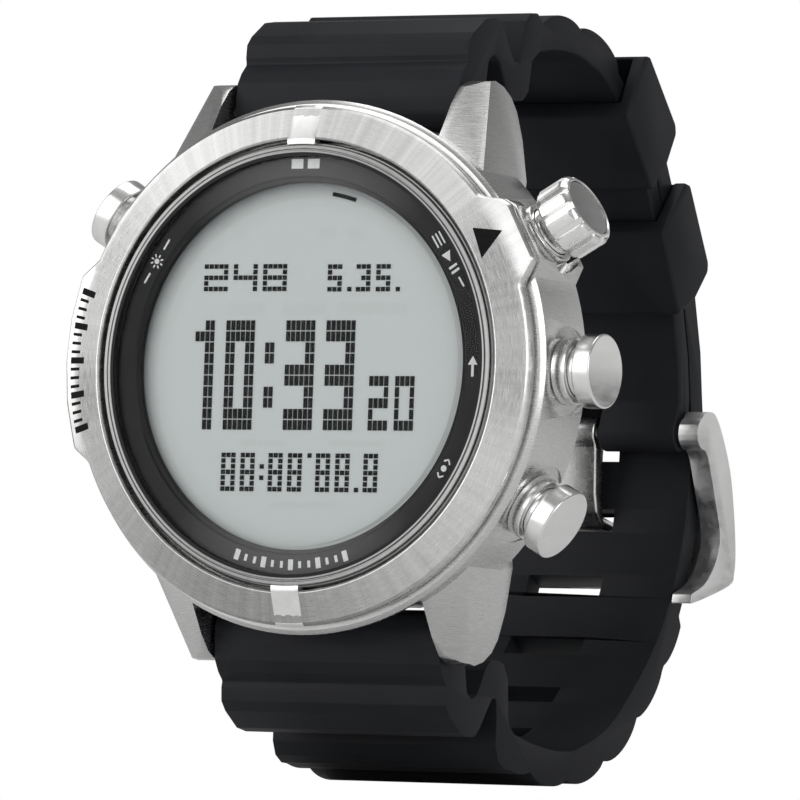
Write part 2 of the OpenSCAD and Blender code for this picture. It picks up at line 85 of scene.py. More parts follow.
# ---------------------------------------------------------------- places, in millimetres
MM = 0.001
CASE_T = 15.5                        # height of the bezel's inner edge above the case back
LCD_TOP = 13.55
BUTTON_Z = 7.7                       # height of every button's axis
SEAT_X = 24.45                       # radius of the flat that a button's collar sits on
COLLAR_X = 25.8
CAP_X = 26.7
CAP_END = 28.55
CROWN_END = 30.3
CAP_R = 3.45
STRAP_HALF = 12
PIN = (41, -2.6)                     # Y and Z of the buckle's pin
BAR = (-4.9, 24.4)                   # Y and Z of the spring bar at 12 o'clock
CLOCK = {"crown": 60, "button_3": 90, "button_4": 120, "button_10": 302}


# ---------------------------------------------------------------- places on the dial
def dial(x, y, z):
    """A point from dial coordinates: x to 3 o'clock, y to 12 o'clock, z up from the case back."""
    return Vector((x, -z, y)) * MM


def polar(r, clock, z):
    """A point at a radius and an angle clockwise from 12 o'clock."""
    a = math.radians(clock)
    return dial(r * math.sin(a), r * math.cos(a), z)


# ---------------------------------------------------------------- meshes
def finish_piece(name, bm, material, body, hides=(), sharp=35, bevel=0.0, segments=2, limit=30):
    """Makes an object from a bmesh, shades it smooth except at sharp edges, and ties it to its body."""
    bmesh.ops.recalc_face_normals(bm, faces=bm.faces)
    mesh = bpy.data.meshes.new(name)
    bm.to_mesh(mesh)
    bm.free()
    obj = bpy.data.objects.new(name, mesh)
    bpy.context.scene.collection.objects.link(obj)
    if bevel:
        mod = obj.modifiers.new("edges", "BEVEL")
        mod.width = bevel * MM
        mod.segments = segments
        mod.limit_method = "ANGLE"
        mod.angle_limit = math.radians(limit)
        mod.harden_normals = False
        mod.use_clamp_overlap = True
    apply_modifiers(obj)
    obj.data.materials.clear()
    obj.data.materials.append(material)
    shade(obj, sharp)
    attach(obj, body)
    if hides:
        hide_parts(*hides)
    return obj


def apply_modifiers(obj):
    """Replaces an object's mesh with its evaluated one."""
    if not obj.modifiers:
        return
    bpy.context.view_layer.update()
    graph = bpy.context.evaluated_depsgraph_get()
    mesh = bpy.data.meshes.new_from_object(obj.evaluated_get(graph))
    obj.modifiers.clear()
    obj.data = mesh


def shade(obj, sharp):
    """Smooth shading, with edges sharper than an angle kept crisp."""
    mesh = obj.data
    for face in mesh.polygons:
        face.use_smooth = True
    mesh.set_sharp_from_angle(angle=math.radians(sharp))


def fillet(points, radius, steps=4, closed=True):
    """Rounds the corners of a 2-D outline with short arcs."""
    out = []
    n = len(points)
    for i, p in enumerate(points):
        p = Vector(p)
        if not closed and i in (0, n - 1):
            out.append(p)
            continue
        a = Vector(points[i - 1]) - p
        b = Vector(points[(i + 1) % n]) - p
        if a.length < 1e-6 or b.length < 1e-6:
            continue
        turn = a.angle(b)
        reach = min(radius / math.tan(turn / 2) if turn < 3.1 else 0, a.length * 0.45, b.length * 0.45)
        if reach < 1e-4:
            out.append(p)
            continue
        start = p + a.normalized() * reach
        end = p + b.normalized() * reach
        for k in range(steps + 1):
            t = k / steps
            out.append(start * (1 - t) ** 2 + p * 2 * t * (1 - t) + end * t * t)
    return out


def lathe(bm, profile, place, steps=160, wave=None, closed=True):
    """Turns an outline of (radius, height) points; place(r, angle, z) gives each point in space.
    An outline that starts and ends on the axis is not closed."""
    rings = []
    for i in range(steps):
        a = 2 * math.pi * i / steps
        ring = []
        for r, z in profile:
            if wave:
                r = wave(r, a, z)
            ring.append(bm.verts.new(place(r, a, z)))
        rings.append(ring)
    n = len(profile)
    for i in range(steps):
        here, there = rings[i], rings[(i + 1) % steps]
        for k in range(n if closed else n - 1):
            j = (k + 1) % n
            bm.faces.new((here[k], here[j], there[j], there[k]))
    bmesh.ops.remove_doubles(bm, verts=bm.verts, dist=1e-6)


def on_dial(r, a, z):
    """Lathe placement about the dial's axis."""
    return dial(r * math.sin(a), r * math.cos(a), z)


def on_button(clock):
    """Lathe placement about a button's axis: z is the distance from the dial's axis."""
    c = math.radians(clock)
    out = Vector((math.sin(c), 0, math.cos(c)))
    side = Vector((math.cos(c), 0, -math.sin(c)))
    up = Vector((0, -1, 0))
    centre = Vector((0, -BUTTON_Z, 0))

    def place(r, a, z):
        return (centre + out * z + side * (r * math.cos(a)) + up * (r * math.sin(a))) * MM
    return place


def prism(bm, outline, half):
    """Extrudes a (Y, Z) outline to plus and minus half along X."""
    left = [bm.verts.new(Vector((-half, p[0], p[1])) * MM) for p in outline]
    right = [bm.verts.new(Vector((half, p[0], p[1])) * MM) for p in outline]
    n = len(outline)
    for i in range(n):
        j = (i + 1) % n
        bm.faces.new((left[i], left[j], right[j], right[i]))
    bm.faces.new(left)
    bm.faces.new(right)


def cut(obj, cutters):
    """Takes the cutters out of an object."""
    for tool in cutters:
        mod = obj.modifiers.new("cut", "BOOLEAN")
        mod.operation = "DIFFERENCE"
        mod.solver = "EXACT"
        mod.object = tool
        apply_modifiers(obj)
        bpy.data.objects.remove(tool)


def loose(name, bm):
    """An object that only serves as a cutter."""
    bmesh.ops.recalc_face_normals(bm, faces=bm.faces)
    mesh = bpy.data.meshes.new(name)
    bm.to_mesh(mesh)
    bm.free()
    obj = bpy.data.objects.new(name, mesh)
    bpy.context.scene.collection.objects.link(obj)
    return obj


def softened(node, material, width, limit=25, sharp=40):
    """A copy of a CAD node with bevelled edges, which stands for the node."""
    source = frame["nodes"][node]
    bm = bmesh.new()
    bm.from_mesh(source.data)
    bmesh.ops.remove_doubles(bm, verts=bm.verts, dist=2e-6)
    bmesh.ops.dissolve_limit(bm, angle_limit=math.radians(0.6), verts=bm.verts, edges=bm.edges)
    body = source["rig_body"]
    return finish_piece(node + "_skin", bm, material, body, hides=[node], sharp=sharp,
                        bevel=width, limit=limit)


SLOT = {row["node"]: row["material_slot"] for row in frame["record"]["subparts"]}


# ---------------------------------------------------------------- materials
class Nodes:
    """Short calls for building a material's node tree."""

    def __init__(self, name):
        self.mat = bpy.data.materials.new(name)
        self.mat.use_nodes = True
        self.tree = self.mat.node_tree
        self.bsdf = self.tree.nodes["Principled BSDF"]
        self.coord = self.add("ShaderNodeTexCoord").outputs["Object"]

    def add(self, kind, **values):
        node = self.tree.nodes.new(kind)
        for key, value in values.items():
            setattr(node, key, value)
        return node

    def link(self, a, b):
        self.tree.links.new(a, b)

    def scaled(self, scale, turn=(0, 0, 0)):
        node = self.add("ShaderNodeMapping")
        node.inputs["Scale"].default_value = scale
        node.inputs["Rotation"].default_value = turn
        self.link(self.coord, node.inputs["Vector"])
        return node.outputs["Vector"]

    def noise(self, vector, scale, detail=3, rough=0.55):
        node = self.add("ShaderNodeTexNoise")
        node.inputs["Scale"].default_value = scale
        node.inputs["Detail"].default_value = detail
        node.inputs["Roughness"].default_value = rough
        self.link(vector, node.inputs["Vector"])
        return node.outputs["Fac"]

    def ramp(self, fac, stops):
        node = self.add("ShaderNodeValToRGB")
        ramp = node.color_ramp
        while len(ramp.elements) < len(stops):
            ramp.elements.new(0.5)
        for element, (at, colour) in zip(ramp.elements, stops):
            element.position = at
            element.color = (*colour, 1) if len(colour) == 3 else colour
        self.link(fac, node.inputs["Fac"])
        return node.outputs["Color"]

    def span(self, fac, low, high, a=0.3, b=0.7):
        node = self.add("ShaderNodeMapRange")
        node.inputs["From Min"].default_value = a
        node.inputs["From Max"].default_value = b
        node.inputs["To Min"].default_value = low
        node.inputs["To Max"].default_value = high
        self.link(fac, node.inputs["Value"])
        return node.outputs["Result"]

    def maths(self, kind, a, b=None):
        node = self.add("ShaderNodeMath", operation=kind)
        for socket, value in zip(node.inputs, (a, b)):
            if value is None:
                continue
            if isinstance(value, (int, float)):
                socket.default_value = value
            else:
                self.link(value, socket)
        return node.outputs[0]

    def bump(self, height, strength, distance):
        node = self.add("ShaderNodeBump")
        node.inputs["Strength"].default_value = strength
        node.inputs["Distance"].default_value = distance
        self.link(height, node.inputs["Height"])
        self.link(node.outputs["Normal"], self.bsdf.inputs["Normal"])

    def set(self, **values):
        for key, value in values.items():
            self.bsdf.inputs[key.replace("_", " ")].default_value = value

    def wire(self, **outputs):
        for key, value in outputs.items():
            self.link(value, self.bsdf.inputs[key.replace("_", " ")])


def grey(v):
    return (v, v, v * 0.99)


def steel(name, low, high, rough, grain, strength, turn=(0, 0, 0)):
    """Steel brushed along one direction: the grain's scale is small along the brushing."""
    m = Nodes(name)
    fine = m.noise(m.scaled(grain, turn), 1.0, 4, 0.65)
    cloud = m.noise(m.coord, 90, 2)
    mixed = m.maths("ADD", m.maths("MULTIPLY", fine, 0.7), m.maths("MULTIPLY", cloud, 0.3))
    m.wire(Base_Color=m.ramp(mixed, [(0.3, grey(low)), (0.7, grey(high))]))
    m.wire(Roughness=m.span(fine, rough - 0.06, rough + 0.08))
    m.set(Metallic=1.0)
    m.bump(fine, strength, 0.00004)
    return m.mat


def turned_steel(name, low, high, rough, strength):
    """Steel brushed in circles about the dial, with random light and dark streaks and two broad painted
    highlight lobes round the dial.
    """
    m = Nodes(name)
    parts = m.add("ShaderNodeSeparateXYZ")
    m.link(m.coord, parts.inputs["Vector"])
    x, z = parts.outputs["X"], parts.outputs["Z"]
    radius = m.maths("SQRT", m.maths("ADD", m.maths("MULTIPLY", x, x), m.maths("MULTIPLY", z, z)))
    angle = m.maths("ARCTAN2", x, z)
    join = m.add("ShaderNodeCombineXYZ")
    m.link(m.maths("MULTIPLY", radius, 9000.0), join.inputs["X"])
    m.link(m.maths("MULTIPLY", angle, 14.0), join.inputs["Y"])
    fine = m.noise(join.outputs["Vector"], 1.0, 4, 0.6)
    rays = m.add("ShaderNodeCombineXYZ")
    m.link(m.maths("MULTIPLY", angle, 22.0), rays.inputs["X"])
    ray = m.noise(rays.outputs["Vector"], 1.0, 3, 0.6)
    # Painted highlight: a sine of the angle gives broad light and dark lobes, painted into the base colour.
    wave = m.maths("SINE", m.maths("ADD", m.maths("MULTIPLY", angle, 2.0), -2.1))
    painted_highlight_lobes = m.maths("ADD", m.maths("MULTIPLY", wave, 0.25), 0.5)
    mixed = m.maths("ADD", m.maths("ADD", m.maths("MULTIPLY", fine, 0.2), m.maths("MULTIPLY", ray, 0.25)),
                    m.maths("MULTIPLY", painted_highlight_lobes, 0.55))
    m.wire(Base_Color=m.ramp(mixed, [(0.32, grey(low)), (0.68, grey(high))]))
    m.wire(Roughness=m.span(fine, rough - 0.05, rough + 0.08))
    m.set(Metallic=1.0)
    m.bump(fine, strength, 0.00003)
    return m.mat


def polished(name, level=0.88, rough=0.09):
    """Polished steel with faint handling marks."""
    m = Nodes(name)
    marks = m.noise(m.scaled((900, 300, 900)), 1.0, 5, 0.7)
    m.wire(Base_Color=m.ramp(marks, [(0.35, grey(level * 0.93)), (0.65, grey(level))]))
    m.wire(Roughness=m.span(marks, rough * 0.8, rough * 1.35))
    m.set(Metallic=1.0)
    m.bump(marks, 0.03, 0.00002)
    return m.mat


def rubber(name, low, high, rough=0.52):
    """Moulded rubber: a fine matt grain, with slight cloudiness in its colour."""
    m = Nodes(name)
    grain = m.noise(m.coord, 6500, 3, 0.6)
    cloud = m.noise(m.coord, 160, 3)
    m.wire(Base_Color=m.ramp(cloud, [(0.35, low), (0.65, high)]))
    m.wire(Roughness=m.span(m.maths("ADD", m.maths("MULTIPLY", cloud, 0.5), m.maths("MULTIPLY", grain, 0.5)),
                            rough - 0.06, rough + 0.08))
    m.set(Specular_IOR_Level=0.2)
    m.bump(grain, 0.10, 0.00004)
    return m.mat


def plastic(name, low, high, rough, scale=900, strength=0.05, shine=0.5):
    """Moulded plastic or paint with a slight texture."""
    m = Nodes(name)
    grain = m.noise(m.coord, scale, 3)
    m.wire(Base_Color=m.ramp(grain, [(0.35, low), (0.65, high)]))
    m.wire(Roughness=m.span(grain, rough - 0.04, rough + 0.05))
    m.set(Specular_IOR_Level=shine)
    m.bump(grain, strength, 0.00002)
    return m.mat


def black_ring(name):
    """Glossy black print with a painted reflection that lightens it at 12 and 6 o'clock; it stays black at 3
    and 9.
    """
    m = Nodes(name)
    parts = m.add("ShaderNodeSeparateXYZ")
    m.link(m.coord, parts.inputs["Vector"])
    angle = m.maths("ARCTAN2", parts.outputs["X"], parts.outputs["Z"])
    # Painted reflection: the base colour turns lighter towards 12 and 6 o'clock.
    painted_reflection_lobe = m.maths("ADD", m.maths("MULTIPLY", m.maths("COSINE", m.maths("MULTIPLY", angle, 2.0)), 0.5), 0.5)
    grain = m.noise(m.coord, 2500, 3)
    mixed = m.maths("ADD", m.maths("MULTIPLY", painted_reflection_lobe, 0.95), m.maths("MULTIPLY", grain, 0.05))
    m.wire(Base_Color=m.ramp(mixed, [(0.0, grey(0.004)), (0.55, grey(0.012)), (1.0, grey(0.11))]))
    m.wire(Roughness=m.span(grain, 0.28, 0.34))
    m.set(Specular_IOR_Level=0.15)
    m.bump(grain, 0.02, 0.00002)
    return m.mat


def lcd(name):
    """The display's pale grey-green glass, with a painted shadow that darkens it towards the ring's upper
    left edge.
    """
    m = Nodes(name)
    parts = m.add("ShaderNodeSeparateXYZ")
    m.link(m.coord, parts.inputs["Vector"])
    # Painted shadow: the centre is moved to the lower right, so the glass darkens under the ring's upper left
    # edge.
    shift_x = m.maths("ADD", parts.outputs["X"], -0.0006)
    shift_z = m.maths("ADD", parts.outputs["Z"], 0.0006)
    radius = m.maths("SQRT", m.maths("ADD", m.maths("MULTIPLY", shift_x, shift_x),
                                     m.maths("MULTIPLY", shift_z, shift_z)))
    film = m.noise(m.coord, 500, 2)
    shadow_reach = m.maths("ADD", radius, m.maths("MULTIPLY", film, 0.0003))
    painted_ring_shadow = m.span(shadow_reach, 0.0, 1.0, 0.0150, 0.0178)
    # The ramp paints the ring's shadow, darkest at the display's edge.
    m.wire(Base_Color=m.ramp(painted_ring_shadow, [(0.0, (0.57, 0.613, 0.608)), (0.45, (0.52, 0.56, 0.555)),
                                        (1.0, (0.22, 0.235, 0.235))]))
    m.wire(Roughness=m.span(film, 0.38, 0.46))
    m.bump(film, 0.02, 0.00002)
    return m.mat


def clear_glass(name):
    """Mineral glass: nearly all see-through."""
    m = Nodes(name)
    haze = m.noise(m.coord, 300, 2)
    m.wire(Base_Color=m.ramp(haze, [(0.3, (0.03, 0.034, 0.033)), (0.7, (0.05, 0.054, 0.053))]))
    m.wire(Roughness=m.span(haze, 0.02, 0.05))
    m.set(Alpha=0.04, IOR=1.5)
    m.mat.blend_method = "BLEND"
    return m.mat


MAT = {
    "case": steel("steel_brushed_case", 0.54, 0.74, 0.25, (700, 700, 17000), 0.12),
    "bezel": turned_steel("steel_turned_bezel", 0.34, 0.84, 0.25, 0.12),
    "bar": polished("steel_bar", 0.98, 0.34),
    "back": turned_steel("steel_turned_back", 0.50, 0.68, 0.30, 0.3),
    "bright": polished("steel_polished"),
    "satin": polished("steel_satin", 0.72, 0.24),
    "pusher": polished("steel_pusher", 0.88, 0.21),
    "disc": polished("steel_disc", 0.55, 0.3),
    "buckle": polished("steel_buckle", 0.95, 0.33),
    "dark_steel": steel("steel_dark", 0.16, 0.26, 0.34, (3000, 3000, 3000), 0.1),
    "ring_steel": turned_steel("steel_turned_ring", 0.22, 0.36, 0.30, 0.2),
    "rubber": rubber("rubber_black", (0.0085, 0.0092, 0.0118), (0.0125, 0.0135, 0.0168)),
    "mask": black_ring("print_black"),
    "ink": plastic("ink_black", (0.004, 0.004, 0.0045), (0.008, 0.008, 0.009), 0.55, 2500, 0.05, 0.1),
    "segment": plastic("lcd_segment", (0.006, 0.007, 0.007), (0.011, 0.012, 0.012), 0.5, 2500, 0.02, 0.1),
    "ghost": plastic("lcd_ghost", (0.54, 0.58, 0.575), (0.555, 0.595, 0.59), 0.42, 2500, 0.02),
    "white_ink": plastic("ink_white", (0.74, 0.75, 0.75), (0.82, 0.83, 0.83), 0.5, 2500, 0.05),
    "lcd": lcd("lcd_glass"),
    "glass": clear_glass("crystal_glass"),
    "white": plastic("white_plastic", (0.66, 0.66, 0.63), (0.74, 0.74, 0.71), 0.4),
    "board": plastic("board_green", (0.012, 0.09, 0.03), (0.02, 0.13, 0.045), 0.35, 1500),
    "chip": plastic("chip_black", (0.015, 0.015, 0.016), (0.026, 0.026, 0.027), 0.5, 2500),
    "bronze": polished("spring_bronze", 0.6, 0.25),
    "seal": rubber("seal_black", (0.008, 0.008, 0.009), (0.014, 0.014, 0.015), 0.45),
}
SLOT_MATERIAL = {
    "steel_case": "case", "steel_back": "back", "steel_bezel": "bezel", "steel_polished": "bright",
    "steel_dark": "dark_steel", "crystal_glass": "glass", "black_print": "mask", "lcd_glass": "lcd",
    "white_plastic": "white", "board_green": "board", "chip_black": "chip", "cell_steel": "satin",
    "spring_bronze": "bronze", "seal_black": "seal", "strap_rubber": "rubber",
}
for node_name, node_object in frame["nodes"].items():
    node_object.data.materials.clear()
    node_object.data.materials.append(MAT[SLOT_MATERIAL[SLOT[node_name]]])
    shade(node_object, 32)


# ---------------------------------------------------------------- case
softened("mid_case", MAT["case"], 0.14)
softened("bezel_bars", MAT["bar"], 0.1)


def outline_radius(corners, clock):
    """Radius of an outline of (radius, clockwise angle) corners at one angle, or 0 outside it."""
    for (r0, c0), (r1, c1) in zip(corners, corners[1:]):
        low, high = min(c0, c1), max(c0, c1)
        if low <= clock <= high:
            a = Vector((r0 * math.sin(math.radians(c0)), r0 * math.cos(math.radians(c0))))
            b = Vector((r1 * math.sin(math.radians(c1)), r1 * math.cos(math.radians(c1))))
            d = Vector((math.sin(math.radians(clock)), math.cos(math.radians(clock))))
            e = b - a
            cross = d.x * e.y - d.y * e.x
            return (a.x * e.y - a.y * e.x) / cross if abs(cross) > 1e-9 else r0
    return 0


RIGHT_BOSS = [(24.1, 49.3), (25.6, 52.9), (26.05, 55.1), (26.05, 67.8), (24.1, 72)]
LEFT_BOSS = [(24.1, -65.5), (25.4, -70.6), (25.4, -80), (25.4, -89), (25.4, -98), (25.4, -108),
             (24.1, -112.5)]
BEZEL_R = 24.15


def bezel_edge(clock):
    """Outer radius of the bezel at an angle, with the two bosses."""
    clock = (clock + 180) % 360 - 180
    return max(BEZEL_R, outline_radius(RIGHT_BOSS, clock), outline_radius(LEFT_BOSS, clock))


def bezel_top(r):
    """Height of the bezel's sloping face."""
    return 15.42 - 0.36 * (min(r, 24.2) - 21.2) - 0.16 * max(0, r - 24.2)


def bezel_ring():
    steps = 900
    edge = [bezel_edge(360 * i / steps) for i in range(steps)]
    edge = [sum(edge[(i + k) % steps] for k in (-1, 0, 1)) / 3 for i in range(steps)]
    bm = bmesh.new()
    rings = []
    for i in range(steps):
        out = edge[i]
        clock = 360 * i / steps
        rim = out - 0.34
        profile = [(20.95, 13.25), (20.95, 15.2), (21.0, 15.3), (21.14, 15.4), (21.22, bezel_top(21.22))]
        for k in range(1, 7):
            r = 21.22 + (rim - 21.22) * k / 6
            profile.append((r, bezel_top(r)))
        top = bezel_top(rim)
        profile += [(rim + 0.06, top - 0.015), (out - 0.03, top - 0.30), (out, top - 0.38),
                    (out, 13.45), (out - 0.05, 13.33), (out - 0.25, 13.25)]
        rings.append([bm.verts.new(polar(r, clock, z)) for r, z in profile])
    for i in range(steps):
        here, there = rings[i], rings[(i + 1) % steps]
        n = len(here)
        for k in range(n):
            bm.faces.new((here[k], here[(k + 1) % n], there[(k + 1) % n], there[k]))
    return finish_piece("bezel_ring", bm, MAT["bezel"], "case", hides=["bezel"], sharp=24)


bezel_ring()


def flat_on(bm, corners, height, thick=0.02):
    """A thin raised mark: its corners are (x, y) on the dial, and height gives z at a point."""
    low = [bm.verts.new(dial(x, y, height(x, y) - thick)) for x, y in corners]
    high = [bm.verts.new(dial(x, y, height(x, y) + thick)) for x, y in corners]
    n = len(corners)
    for i in range(n):
        j = (i + 1) % n
        bm.faces.new((low[i], low[j], high[j], high[i]))
    bm.faces.new(high)
    bm.faces.new(low)


def at_clock(clock, r, across, out):
    """A point near (r, clock), moved across and outwards, in dial x and y."""
    a = math.radians(clock)
    rr = r + out
    return (rr * math.sin(a) + across * math.cos(a), rr * math.cos(a) - across * math.sin(a))


def on_bezel(x, y):
    return bezel_top(math.hypot(x, y)) + 0.004


def bezel_marks():
    """The triangle by the ribbed button, and a depth scale on the left boss."""
    bm = bmesh.new()
    tri = [(-1.34, 1.1), (1.34, 1.1), (0, -1.65)]
    turn = math.radians(4)
    cx, cy = 19.4, 11.45
    flat_on(bm, [(cx + x * math.cos(turn) + y * math.sin(turn), cy - x * math.sin(turn) + y * math.cos(turn))
                 for x, y in tri], on_bezel, 0.015)
    ticks = 17
    for i in range(ticks):
        clock = -73.5 - 31.0 * i / (ticks - 1)
        long_tick = i % 4 == 0
        half = 0.30 if long_tick else 0.14
        inner = -0.95 if long_tick else -0.35
        flat_on(bm, [at_clock(clock, 23.9, sx * half, out) for sx, out in
                     ((-1, inner), (1, inner), (1, 0.75), (-1, 0.75))], on_bezel, 0.015)
    finish_piece("bezel_marks", bm, MAT["ink"], "case")


bezel_marks()


def crystal_seat():
    """The stepped steel ring round the glass, with its fine grooves."""
    bm = bmesh.new()
    outline = [(19.72, 13.52), (20.72, 13.52), (20.72, 14.75), (20.62, 14.86), (20.5, 14.9), (20.46, 15.22),
               (20.38, 15.28), (20.12, 15.28), (20.06, 15.16), (19.98, 15.16), (19.92, 15.34), (19.76, 15.34),
               (19.72, 15.28)]
    lathe(bm, outline, on_dial, 240)
    finish_piece("crystal_seat", bm, MAT["ring_steel"], "case", hides=["crystal_ring"],
                 sharp=28)


crystal_seat()


def print_ring():
    """The black ring behind the glass, with its rounded inner lip."""
    bm = bmesh.new()
    outline = [(17.1, LCD_TOP + 0.04), (18.9, LCD_TOP + 0.04), (18.9, 13.6), (19.4, 13.6), (19.4, 14.5),
               (17.75, 14.5), (17.62, 14.47), (17.5, 14.3), (17.42, 14.26), (17.25, 14.24), (17.14, 14.18),
               (17.1, 14.08)]
    lathe(bm, outline, on_dial, 240)
    finish_piece("print_ring", bm, MAT["mask"], "case", hides=["mask_ring"], sharp=30)


print_ring()


# ---------------------------------------------------------------- display
CELL = 0.525                         # pitch of the display's cells
CELL_GAP = 0.11
ARC_START, ARC_SPAN, ARC_PARTS = 8.9, 9.0, 6    # the short arc at the display's edge, in degrees
ARC_IN, ARC_OUT = 16.0, 16.38
TALL = 1.03                          # pitch of the tall cells of the large row
SMALL = {
    "3": ("111", "001", "011", "001", "111"),
    "5": ("111", "100", "111", "001", "111"),
    ".": ("0", "0", "0", "0", "1"),
}
WIDE = {
    "2": ("11111", "00001", "11111", "10000", "11111"),
    "4": ("10001", "10001", "11111", "00001", "00001"),
    "8": ("11111", "10001", "11111", "10001", "11111"),
}
SEVEN = {
    "8": ("111", "101", "101", "111", "101", "101", "111"),
    ":": ("0", "0", "1", "0", "1", "0", "0"),
    ".": ("0", "0", "0", "0", "0", "0", "1"),
    "'": ("1", "0", "0", "0", "0", "0", "0"),
}
FULL, OPEN, LAST = "111111", "110011", "000011"
LARGE = {
    "1": ("0011", "1111") + ("0011",) * 8,
    "0": (FULL,) * 2 + (OPEN,) * 6 + (FULL,) * 2,
    "3": (FULL,) * 2 + (LAST,) * 2 + (FULL,) * 2 + (LAST,) * 2 + (FULL,) * 2,
    ":": ("00", "00", "11", "11", "00", "00", "11", "11", "00", "00"),
}
SECONDS = {
    "2": ("1111", "0001", "1111", "1000", "1111"),
    "0": ("1111", "1001", "1001", "1001", "1111"),
}


def on_lcd(x, y):
    return LCD_TOP + 0.03


def on_panel(x, y):
    return LCD_TOP


def glyph(bm, art, left, top, rise=CELL):
    """One sign of the display, as a raised block for each dark cell."""
    for row, line in enumerate(art):
        for column, state in enumerate(line):
            if state == "1":
                x0, y0 = left + column * CELL, top - row * rise
                x1, y1 = x0 + CELL - CELL_GAP, y0 - rise + CELL_GAP
                flat_on(bm, [(x0, y0), (x1, y0), (x1, y1), (x0, y1)], on_lcd, 0.04)


def written(bm, text, font, left, top, gap=1.0, sign_gap=0.75, rise=CELL):
    """A row of signs: numerals are followed by one gap and points or colons by another."""
    for sign in text:
        glyph(bm, font[sign], left, top, rise)
        left += (len(font[sign][0]) + (gap if sign.isdigit() else sign_gap)) * CELL


def display_numerals():
    bm = bmesh.new()
    written(bm, "248", WIDE, -10.9, 9.5)
    written(bm, "5.35.", SMALL, 2.3, 9.45)
    for sign, left in (("1", -11.6), ("0", -8.32), (":", -4.08), ("3", -1.9), ("3", 2.37)):
        glyph(bm, LARGE[sign], left, 4.25, TALL)
    written(bm, "20", SECONDS, 7.1, -0.9, gap=1.2, rise=TALL)
    written(bm, "88:88'88.8", SEVEN, -8.32, -8.1, gap=0.93)
    for k in range(ARC_PARTS):
        first = ARC_START + ARC_SPAN * k / ARC_PARTS
        last = first + ARC_SPAN / ARC_PARTS
        flat_on(bm, [at_clock(clock, r, 0, 0) for clock, r in
                     ((first, ARC_IN), (last, ARC_IN), (last, ARC_OUT), (first, ARC_OUT))], on_lcd, 0.04)
    finish_piece("display_numerals", bm, MAT["segment"], "case", sharp=30)


def display_ghosts():
    """The faint resting segments between the rows."""
    bm = bmesh.new()
    for left, right, top, low in ((-8.1, -4.2, 5.9, 4.75), (-2.4, 2.2, 5.9, 4.75), (3.4, 10.8, 5.9, 4.75),
                                  (-8.6, -6.4, 12.9, 11.9), (1.2, 3.0, 12.9, 11.9), (4.2, 6.0, 12.7, 11.7),
                                  (-6.5, -1.5, -6.9, -7.4), (3.0, 9.0, -6.9, -7.4),
                                  (-3.0, 4.0, -12.6, -13.2)):
        flat_on(bm, [(left, low), (right, low), (right, top), (left, top)], on_panel, 0.006)
    finish_piece("display_ghosts", bm, MAT["ghost"], "case", sharp=30)


display_ghosts()
display_numerals()


def on_ring(x, y):
    return 14.5 + 0.012


def disc(x, y, r, n=16):
    """Corners of a small round mark."""
    return [(x + r * math.cos(2 * math.pi * k / n), y + r * math.sin(2 * math.pi * k / n)) for k in range(n)]


def stroke(x0, y0, x1, y1, half=0.09):
    """Corners of a short straight line."""
    d = Vector((x1 - x0, y1 - y0)).normalized() * half
    return [(x0 - d.y, y0 + d.x), (x0 + d.y, y0 - d.x), (x1 + d.y, y1 - d.x), (x1 - d.y, y1 + d.x)]


def rays(n, r0, r1):
    """Short lines round a disc."""
    return [stroke(r0 * math.cos(a), r0 * math.sin(a), r1 * math.cos(a), r1 * math.sin(a), 0.07)
            for a in (2 * math.pi * k / n for k in range(n))]


# plain signs for what the buttons do: x runs along the ring and y outwards
SIGNS = {
    "sun": [disc(0, 0, 0.26)] + rays(8, 0.4, 0.68) + [stroke(1.3, 0, 2.4, 0), stroke(-2.4, 0, -1.3, 0)],
    "play": [[(-0.5, -0.5), (0.45, 0), (-0.5, 0.5)]]
    + [stroke(x, -0.45, x, 0.45, 0.12) for x in (1.0, 1.5)]
    + [stroke(-2.6, y, -1.3, y, 0.08) for y in (-0.4, 0, 0.4)] + [stroke(2.2, 0, 3.2, 0)],
    "back": [[(-0.9, 0), (-0.1, -0.5), (-0.1, 0.5)], stroke(-0.2, 0, 1.0, 0, 0.13)],
    "dot": [disc(0, 0, 0.3), stroke(-0.95, 0, -0.6, 0.35, 0.08), stroke(-0.95, 0, -0.6, -0.35, 0.08),
            stroke(0.95, 0, 0.6, 0.35, 0.08), stroke(0.95, 0, 0.6, -0.35, 0.08)],
}


def ring_marks():
    """White marks on the black ring: two blocks at 12, a sign by each button, and a scale at 6."""
    bm = bmesh.new()
    for side in (-1, 1):
        x = side * 0.86
        flat_on(bm, [(x - 0.62, 18.3), (x + 0.62, 18.3), (x + 0.62, 19.2), (x - 0.62, 19.2)], on_ring, 0.008)
    for clock, signs in ((57, "play"), (90, "back"), (121, "dot"), (-58, "sun")):
        for corners in SIGNS[signs]:
            flat_on(bm, [at_clock(clock, 18.35, x, y) for x, y in corners], on_ring, 0.008)
    for k in range(13):
        c = 162 + 36 * k / 12
        half, reach = (0.26, 0.5) if k % 3 == 0 else (0.15, 0.32)
        flat_on(bm, [at_clock(c, 18.5, sx * half, out) for sx, out in
                     ((-1, -reach), (1, -reach), (1, reach), (-1, reach))], on_ring, 0.008)
    finish_piece("ring_marks", bm, MAT["white_ink"], "case", sharp=30)


ring_marks()


# ---------------------------------------------------------------- buttons
def button_pieces(name):
    """A plain button's polished cap and waisted stem."""
    bm = bmesh.new()
    cap = fillet([(0, CAP_X), (CAP_R, CAP_X), (CAP_R, CAP_END), (0, CAP_END)], 0.22, 5, closed=False)
    lathe(bm, cap, on_button(CLOCK[name]), 128, closed=False)
    stem = fillet([(0, 22.7), (2.4, 22.7), (2.4, CAP_X + 0.05), (0, CAP_X + 0.05)], 0.1, 3, closed=False)
    lathe(bm, stem, on_button(CLOCK[name]), 96, closed=False)
    finish_piece(name + "_cap", bm, MAT["pusher"], name, hides=[name], sharp=30)


for button_name in ("button_3", "button_4", "button_10"):
    button_pieces(button_name)


